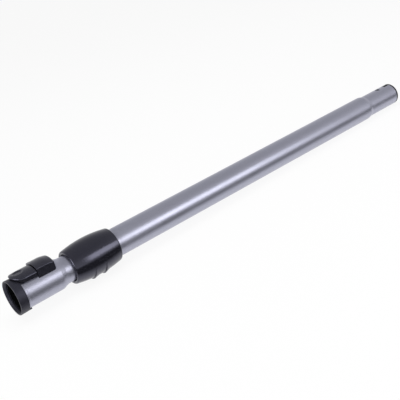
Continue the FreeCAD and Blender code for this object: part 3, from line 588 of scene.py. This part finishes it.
def finger_rib(x):
    """Crescent under the sleeve: steep towards the socket, with a long slope to the tail."""
    crest = x + RIB_CREST
    end = x + RIB_LENGTH
    bm = sector([(x, RIB_ROOT_FRONT, 0), (x, crown_radius(x), 0.25), (crest, crown_radius(crest), 0.3),
                 (end, crown_radius(end) - RIB_DROP, 0), (end, RIB_ROOT_REAR, 0)],
                math.radians(RIB_SPREAD), math.pi)
    bmesh.ops.translate(bm, vec=(0, 0, -RIB_DROP), verts=bm.verts)
    bmesh.ops.bisect_plane(bm, geom=bm.verts[:] + bm.edges[:] + bm.faces[:], plane_co=(0, 0, REST_LEVEL),
                           plane_no=(0, 0, -1), clear_outer=True)
    bmesh.ops.holes_fill(bm, edges=[e for e in bm.edges if e.is_boundary], sides=0)
    bmesh.ops.recalc_face_normals(bm, faces=bm.faces)
    return bm


def sleeve(material):
    """Two shells that meet on the seam, the lower one with the finger ribs."""
    upper = sleeve_barrel()
    lower = upper.copy()
    part_shell(upper, SEAM_HEIGHT + SEAM_GAP, True)
    part_shell(lower, SEAM_HEIGHT - SEAM_GAP, False)
    for x in RIB_STATIONS:
        add_to(lower, finger_rib(x))
    finish_piece("sleeve_upper_moulding", upper, "sleeve", [material], ["sleeve_upper_shell"])
    finish_piece("sleeve_lower_moulding", lower, "sleeve", [material], ["sleeve_lower_shell"])


# Collar and latch

def end_collar(material):
    """Collar on the socket's mouth with a lead-in, the saddle under the latch and two clips below."""
    bm = turned([
        (LEAD_IN, R_COLLAR_BORE, 0.3), (0, R_LEAD_IN, 0.1), (0, R_COLLAR, 0.4),
        (COLLAR_END, R_COLLAR_END, 0.4), (COLLAR_END, R_HEM_SEAT, 0.1), (COLLAR_STOP, R_HEM_SEAT, 0),
        (COLLAR_STOP, R_COLLAR_BORE, 0.1)])
    saddle = math.asin(SADDLE_HALF / R_SADDLE)
    plate = [(SADDLE_FRONT, R_SADDLE_SEAT, 0), (SADDLE_FRONT, R_SADDLE, 0), (LEVER_REAR, R_SADDLE, 0),
             (LEVER_REAR, R_SADDLE_SEAT, 0)]
    bridge = [(BRIDGE_START, R_BRIDGE, 0), (BRIDGE_START, R_SADDLE, 0), (BRIDGE_END, R_SADDLE, 0),
              (BRIDGE_END, R_BRIDGE, 0)]
    clip = [(BRIDGE_START, R_BRIDGE, 0), (BRIDGE_START, R_CLIP, 0), (CLIP_END, R_CLIP, 0.4),
            (CLIP_END, R_HOOK, 0), (HOOK_START, R_HOOK, 0), (HOOK_START, R_BRIDGE, 0)]
    add_to(bm, sector(plate, saddle, 0))
    add_to(bm, sector(bridge, saddle, 0))
    for side in (-1, 1):
        add_to(bm, sector(clip, CLIP_HALF_ANGLE, math.pi + side * math.radians(CLIP_TURN)))
    finish_piece("end_collar_moulding", bm, "inner", [material], ["end_collar"])


def lever_top(x, y):
    """Height of the lever's arched top: falls to the nose, with a thumb scoop and a rounded edge."""
    nose = max(0.0, LEVER_TIP + LEVER_NOSE - x) / LEVER_NOSE
    off_centre = math.hypot((x - SCOOP_X) / SCOOP_HALF_LENGTH, y / SCOOP_HALF_WIDTH)
    inwards = min(1.0, max(0.0, 1 - off_centre) / SCOOP_SLOPE)
    scoop = SCOOP_DEPTH * inwards ** 2 * (3 - 2 * inwards)
    from_edge = LEVER_HALF * (1 - math.hypot(nose, y / LEVER_HALF))
    over = min(LEVER_RIM, max(0.0, LEVER_RIM - from_edge))
    rounding = LEVER_RIM - math.sqrt(LEVER_RIM ** 2 - over ** 2)
    return math.sqrt((LEVER_TOP - NOSE_FALL * nose ** 2) ** 2 - y ** 2) - scoop - rounding


def lever_under(x, y):
    """Height of the lever's underside, clear of the collar and the saddle when pressed."""
    deck = R_COLLAR if x < COLLAR_END + PRESS_CLEARANCE else R_SADDLE
    return math.sqrt((deck + PRESS_CLEARANCE) ** 2 - y ** 2) + max(0.0, AXLE_X - x) * PRESS_SLOPE


def latch_lever(material):
    """Rocker: a wide plate with a round nose, thumb scoop and spring pocket, its tail and its catch."""
    bm = bmesh.new()
    bmesh.ops.create_grid(bm, x_segments=80, y_segments=64, size=0.5)
    for vert in bm.verts:
        along = vert.co.x + 0.5
        if along < 0.5:
            turn = along * math.pi
            x = LEVER_TIP + LEVER_NOSE * (1 - math.cos(turn))
            half = LEVER_HALF * math.sin(turn)
        else:
            x = LEVER_TIP + LEVER_NOSE + (2 * along - 1) * (LEVER_REAR - LEVER_TIP - LEVER_NOSE)
            half = LEVER_HALF
        y = half * math.sin(vert.co.y * math.pi)
        vert.co = (x, y, lever_top(x, y))
    bmesh.ops.remove_doubles(bm, verts=bm.verts, dist=1e-3)
    made = bmesh.ops.extrude_face_region(bm, geom=bm.faces[:], use_keep_orig=True)["geom"]
    for vert in made:
        if isinstance(vert, bmesh.types.BMVert):
            vert.co.z = min(lever_under(vert.co.x, vert.co.y), vert.co.z - LEVER_MIN)
    bmesh.ops.recalc_face_normals(bm, faces=bm.faces)
    cut_away(bm, block(*LEVER_POCKET))
    add_to(bm, block(*LEVER_TAIL, LEVER_EDGE))
    add_to(bm, block(*LEVER_CATCH, LEVER_EDGE))
    finish_piece("latch_lever_moulding", bm, "lever", [material], ["latch_lever"])


def cover_half(x, inset):
    """Half-width of the cover at its foot: straight sides and rounded rear corners."""
    corner = COVER_CORNER - inset
    past = max(0.0, x - (COVER_REAR - inset - corner))
    return COVER_HALF - inset - corner + math.sqrt(max(0.0, corner ** 2 - past ** 2))


def cover_radius(x, inset):
    """Radius of the cover's top about the wand's axis: falls towards the rear and rounds over there."""
    end = COVER_REAR - inset
    fall = max(0.0, x - end + COVER_FALL_LENGTH) / COVER_FALL_LENGTH
    drop = max(0.0, x - end + COVER_DROP_LENGTH) / COVER_DROP_LENGTH
    return COVER_TOP - COVER_FALL * fall ** 1.5 - COVER_DROP * drop ** 2


def cover_block(inset, roof, front, foot):
    """Cover's form drawn in by a wall and a roof, down to the socket tube or to a flat foot."""
    bm = bmesh.new()
    bmesh.ops.create_grid(bm, x_segments=56, y_segments=48, size=0.5)
    for vert in bm.verts:
        x = front + (COVER_REAR - inset - front) * math.sin((vert.co.x + 0.5) * math.pi / 2)
        y = 2 * vert.co.y * (cover_half(x, inset) - COVER_DRAFT)
        vert.co = (x, y, math.sqrt((cover_radius(x, inset) - roof) ** 2 - y ** 2))
    made = bmesh.ops.extrude_face_region(bm, geom=bm.faces[:], use_keep_orig=True)["geom"]
    for vert in made:
        if isinstance(vert, bmesh.types.BMVert):
            half = cover_half(vert.co.x, inset)
            vert.co.y *= half / (half - COVER_DRAFT)
            vert.co.z = foot or math.sqrt(COVER_SEAT ** 2 - vert.co.y ** 2)
    bmesh.ops.recalc_face_normals(bm, faces=bm.faces)
    return bm


def latch_cover(material):
    """Arched housing behind the lever, open towards it and below."""
    bm = cover_block(0, 0, COVER_FRONT, 0)
    rim = [e for e in sharp_edges(bm, 30) if all(v.co.z > COVER_FOOT_LEVEL for v in e.verts)]
    bevel(bm, rim, COVER_EDGE, 4)
    cut_away(bm, cover_block(COVER_WALL, COVER_ROOF, COVER_FRONT - 1, COVER_HOLLOW_FOOT))
    finish_piece("latch_cover_moulding", bm, "inner", [material], ["latch_cover"])


# Leaf springs

def leaf_spring(name, node, material, rise, start_x):
    """Strip of spring steel over a CAD node's box, on no body, its tip raised if need be."""
    low, high = [1000 * Vector(corner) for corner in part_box(node)]
    bm = block(low.x, high.x, low.y, high.y, low.z, low.z + LEAF)
    long_edges = [e for e in bm.edges if abs(e.verts[0].co.x - e.verts[1].co.x) > 1]
    bmesh.ops.subdivide_edges(bm, edges=long_edges, cuts=LEAF_CUTS)
    for vert in bm.verts:
        vert.co.z += rise * max(0.0, (start_x - vert.co.x) / (start_x - low.x))
    strip = finish_piece(name, bm, None, [material], [node])
    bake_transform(strip)


def leaf_springs(material):
    leaf_spring("latch_leaf_strip", "latch_leaf_spring", material, LATCH_LEAF_RISE,
                LATCH_LEAF_BEND)
    leaf_spring("lock_leaf_strip", "lock_leaf_spring", material, 0.0,
                LOCK_LEAF_CLAMP)


# Hidden pieces keep their solids and get their finish

def dress_hidden_pieces(finishes):
    for material, names in finishes:
        for name in names:
            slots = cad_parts[name].material_slots
            if slots:
                slots[0].material = material
            else:
                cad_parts[name].data.materials.append(material)


# Floor and light

def seen_rays(tree):
    """Whether a ray shows the stage, straight or in a reflection, and whether it is a reflection."""
    path = add(tree, "ShaderNodeLightPath")
    seen = add(tree, "ShaderNodeMath", {0: path.outputs["Is Camera Ray"], 1: path.outputs["Is Glossy Ray"]},
               operation="MAXIMUM")
    seen = add(tree, "ShaderNodeMath", {0: seen.outputs["Value"], 1: path.outputs["Is Transmission Ray"]},
               operation="MAXIMUM")
    return seen.outputs["Value"], path.outputs["Is Glossy Ray"]


def white_world():
    """White to the camera, darker overhead in reflections, and a plain fill light on the object."""
    world = bpy.data.worlds.new("studio")
    world.use_nodes = True
    bpy.context.scene.world = world
    tree = world.node_tree
    tree.nodes.clear()
    seen, glossy = seen_rays(tree)
    where = add(tree, "ShaderNodeSeparateXYZ", {0: add(tree, "ShaderNodeTexCoord").outputs["Generated"]})
    ceiling = add(tree, "ShaderNodeMapRange", {"Value": where.outputs["Z"]},
                  {"From Min": CEILING_HEIGHTS[0], "From Max": CEILING_HEIGHTS[1],
                   "To Min": CEILING[0], "To Max": CEILING[1]})
    level = add(tree, "ShaderNodeMix", {"Factor": glossy, "B": ceiling.outputs["Result"]}, {"A": 1.0})
    fill = add(tree, "ShaderNodeBackground", values={"Color": WHITE, "Strength": FILL})
    white = add(tree, "ShaderNodeBackground", {"Strength": level.outputs["Result"]}, {"Color": WHITE})
    mixed = add(tree, "ShaderNodeMixShader", {0: seen, 1: fill.outputs["Background"],
                                              2: white.outputs["Background"]})
    add(tree, "ShaderNodeOutputWorld", {"Surface": mixed.outputs["Shader"]})


def white_sweep():
    """Floor paint: white to the camera with the wand's shadow, and a dark strip seen in reflections."""
    material = bpy.data.materials.new("white_sweep")
    material.use_nodes = True
    tree = material.node_tree
    tree.nodes.clear()
    seen, glossy = seen_rays(tree)
    share = add(tree, "ShaderNodeMath", {0: seen}, {1: FLOOR_WHITE}, operation="MULTIPLY")
    share = add(tree, "ShaderNodeMath", {0: share.outputs["Value"], 1: glossy}, operation="MAXIMUM")
    where = add(tree, "ShaderNodeSeparateXYZ", {0: add(tree, "ShaderNodeTexCoord").outputs["Object"]})
    strip = add(tree, "ShaderNodeMapRange", {"Value": where.outputs["Y"]},
                {"From Min": FLAG_SPAN[0], "From Max": FLAG_SPAN[1], "To Min": 0.0, "To Max": 1.0})
    flag = add(tree, "ShaderNodeValToRGB", {"Fac": strip.outputs["Result"]})
    flag.color_ramp.elements[0].color = WHITE
    for place, grey in FLAG:
        stop = flag.color_ramp.elements.new(place)
        stop.color = (grey, grey, grey, 1)
    level = add(tree, "ShaderNodeMix", {"Factor": glossy, "B": flag.outputs["Color"]}, {"A": 1.0})
    matt = add(tree, "ShaderNodeBsdfDiffuse", values={"Color": (FLOOR_GREY, FLOOR_GREY, FLOOR_GREY, 1)})
    glow = add(tree, "ShaderNodeEmission", {"Strength": level.outputs["Result"]}, {"Color": WHITE})
    mixed = add(tree, "ShaderNodeMixShader", {0: share.outputs["Value"], 1: matt.outputs["BSDF"],
                                              2: glow.outputs["Emission"]})
    add(tree, "ShaderNodeOutputMaterial", {"Surface": mixed.outputs["Shader"]})
    return material


def white_floor():
    """Plane that touches the rear finger rib and the far end of the tube's body, as the wand lies."""
    bm = bmesh.new()
    bmesh.ops.create_grid(bm, x_segments=1, y_segments=1, size=FLOOR_HALF)
    mesh = bpy.data.meshes.new("floor")
    bm.to_mesh(mesh)
    bm.free()
    floor = bpy.data.objects.new("floor", mesh)
    bpy.context.scene.collection.objects.link(floor)
    lean = math.atan2(-R_OUTER - REST_LEVEL, X_BODY_END - RIB_STATIONS[1])
    floor.rotation_euler = (0, -lean, 0)
    floor.location = (RIB_STATIONS[1] / 1000, 0, REST_LEVEL / 1000)
    mesh.materials.append(white_sweep())


def soft_box(name, place, target, width, height, watts):
    """Rectangular lamp turned towards a point, in metres."""
    lamp = bpy.data.lights.new(name, "AREA")
    lamp.shape = "RECTANGLE"
    lamp.size = width
    lamp.size_y = height
    lamp.energy = watts
    obj = bpy.data.objects.new(name, lamp)
    bpy.context.scene.collection.objects.link(obj)
    obj.location = place
    obj.rotation_euler = (Vector(target) - Vector(place)).to_track_quat("-Z", "Y").to_euler()
    return obj


def studio():
    """White floor and world with three soft boxes. The top one isn't seen in reflections."""
    white_world()
    white_floor()
    soft_box("strip", (0.625, -0.82, 0.28), (0.5, 0, 0), width=0.77, height=0.4, watts=2.5)
    soft_box("front", (-0.9, -0.35, 0.45), (0, 0, 0), width=0.9, height=0.7, watts=5.5)
    top = soft_box("top", (0.3, 0.1, 1.5), (0.3, 0, 0), width=1.2, height=1.2, watts=12)
    top.visible_glossy = False


def main():
    bpy.context.scene.view_settings.view_transform = "Standard"
    place_camera()
    silver = silver_lacquer_on_steel()
    # Inside of the tubes: near-black painted shade
    bore = steel_bore_painted_shade()
    # Glossy ABS of the lever and the cover
    charcoal = moulded_plastic("charcoal_abs", "#0f0f14", "#17171d", grain_mm=0.9, relief=0.08,
                               rough=(0.2, 0.28), shine=1.0)
    # Duller ABS of the collar
    dull = moulded_plastic("charcoal_abs_eroded", "#16161c", "#202027", grain_mm=0.7, relief=0.2,
                           rough=(0.42, 0.52), shine=0.6)
    # Grained ABS of the sleeve
    black = moulded_plastic("black_abs_grained", "#0b0b10", "#131319", grain_mm=1.6, relief=0.24,
                            rough=(0.11, 0.19), shine=1.0)
    # Polypropylene of the end ring
    matt = moulded_plastic("black_polypropylene", "#09090b", "#0f0f12", grain_mm=0.8, relief=0.1,
                           rough=(0.5, 0.6), shine=0.3)
    # Acetal of the bushes, the rail, the stop ring and the tooth
    acetal = moulded_plastic("natural_acetal", "#d9d7d0", "#e6e4dd", grain_mm=2.5, relief=0.05,
                             rough=(0.35, 0.45))
    # Rubber of the wiper
    rubber = moulded_plastic("black_rubber", "#191919", "#222222", grain_mm=0.6, relief=0.3,
                             rough=(0.6, 0.75))
    steel = spring_steel()
    outer_tube([silver, bore])
    inner_tube([silver, bore])
    spigot_end_ring(matt)
    sleeve(black)
    end_collar(dull)
    latch_lever(charcoal)
    latch_cover(charcoal)
    leaf_springs(steel)
    dress_hidden_pieces([
        (acetal, ["guide_bush", "slide_bush", "detent_rail", "spring_stop_ring", "lock_tooth"]),
        (rubber, ["dust_wiper"]),
        (steel, ["return_spring_left", "return_spring_right", "lock_cross_pin", "latch_axle"])])
    studio()


main()
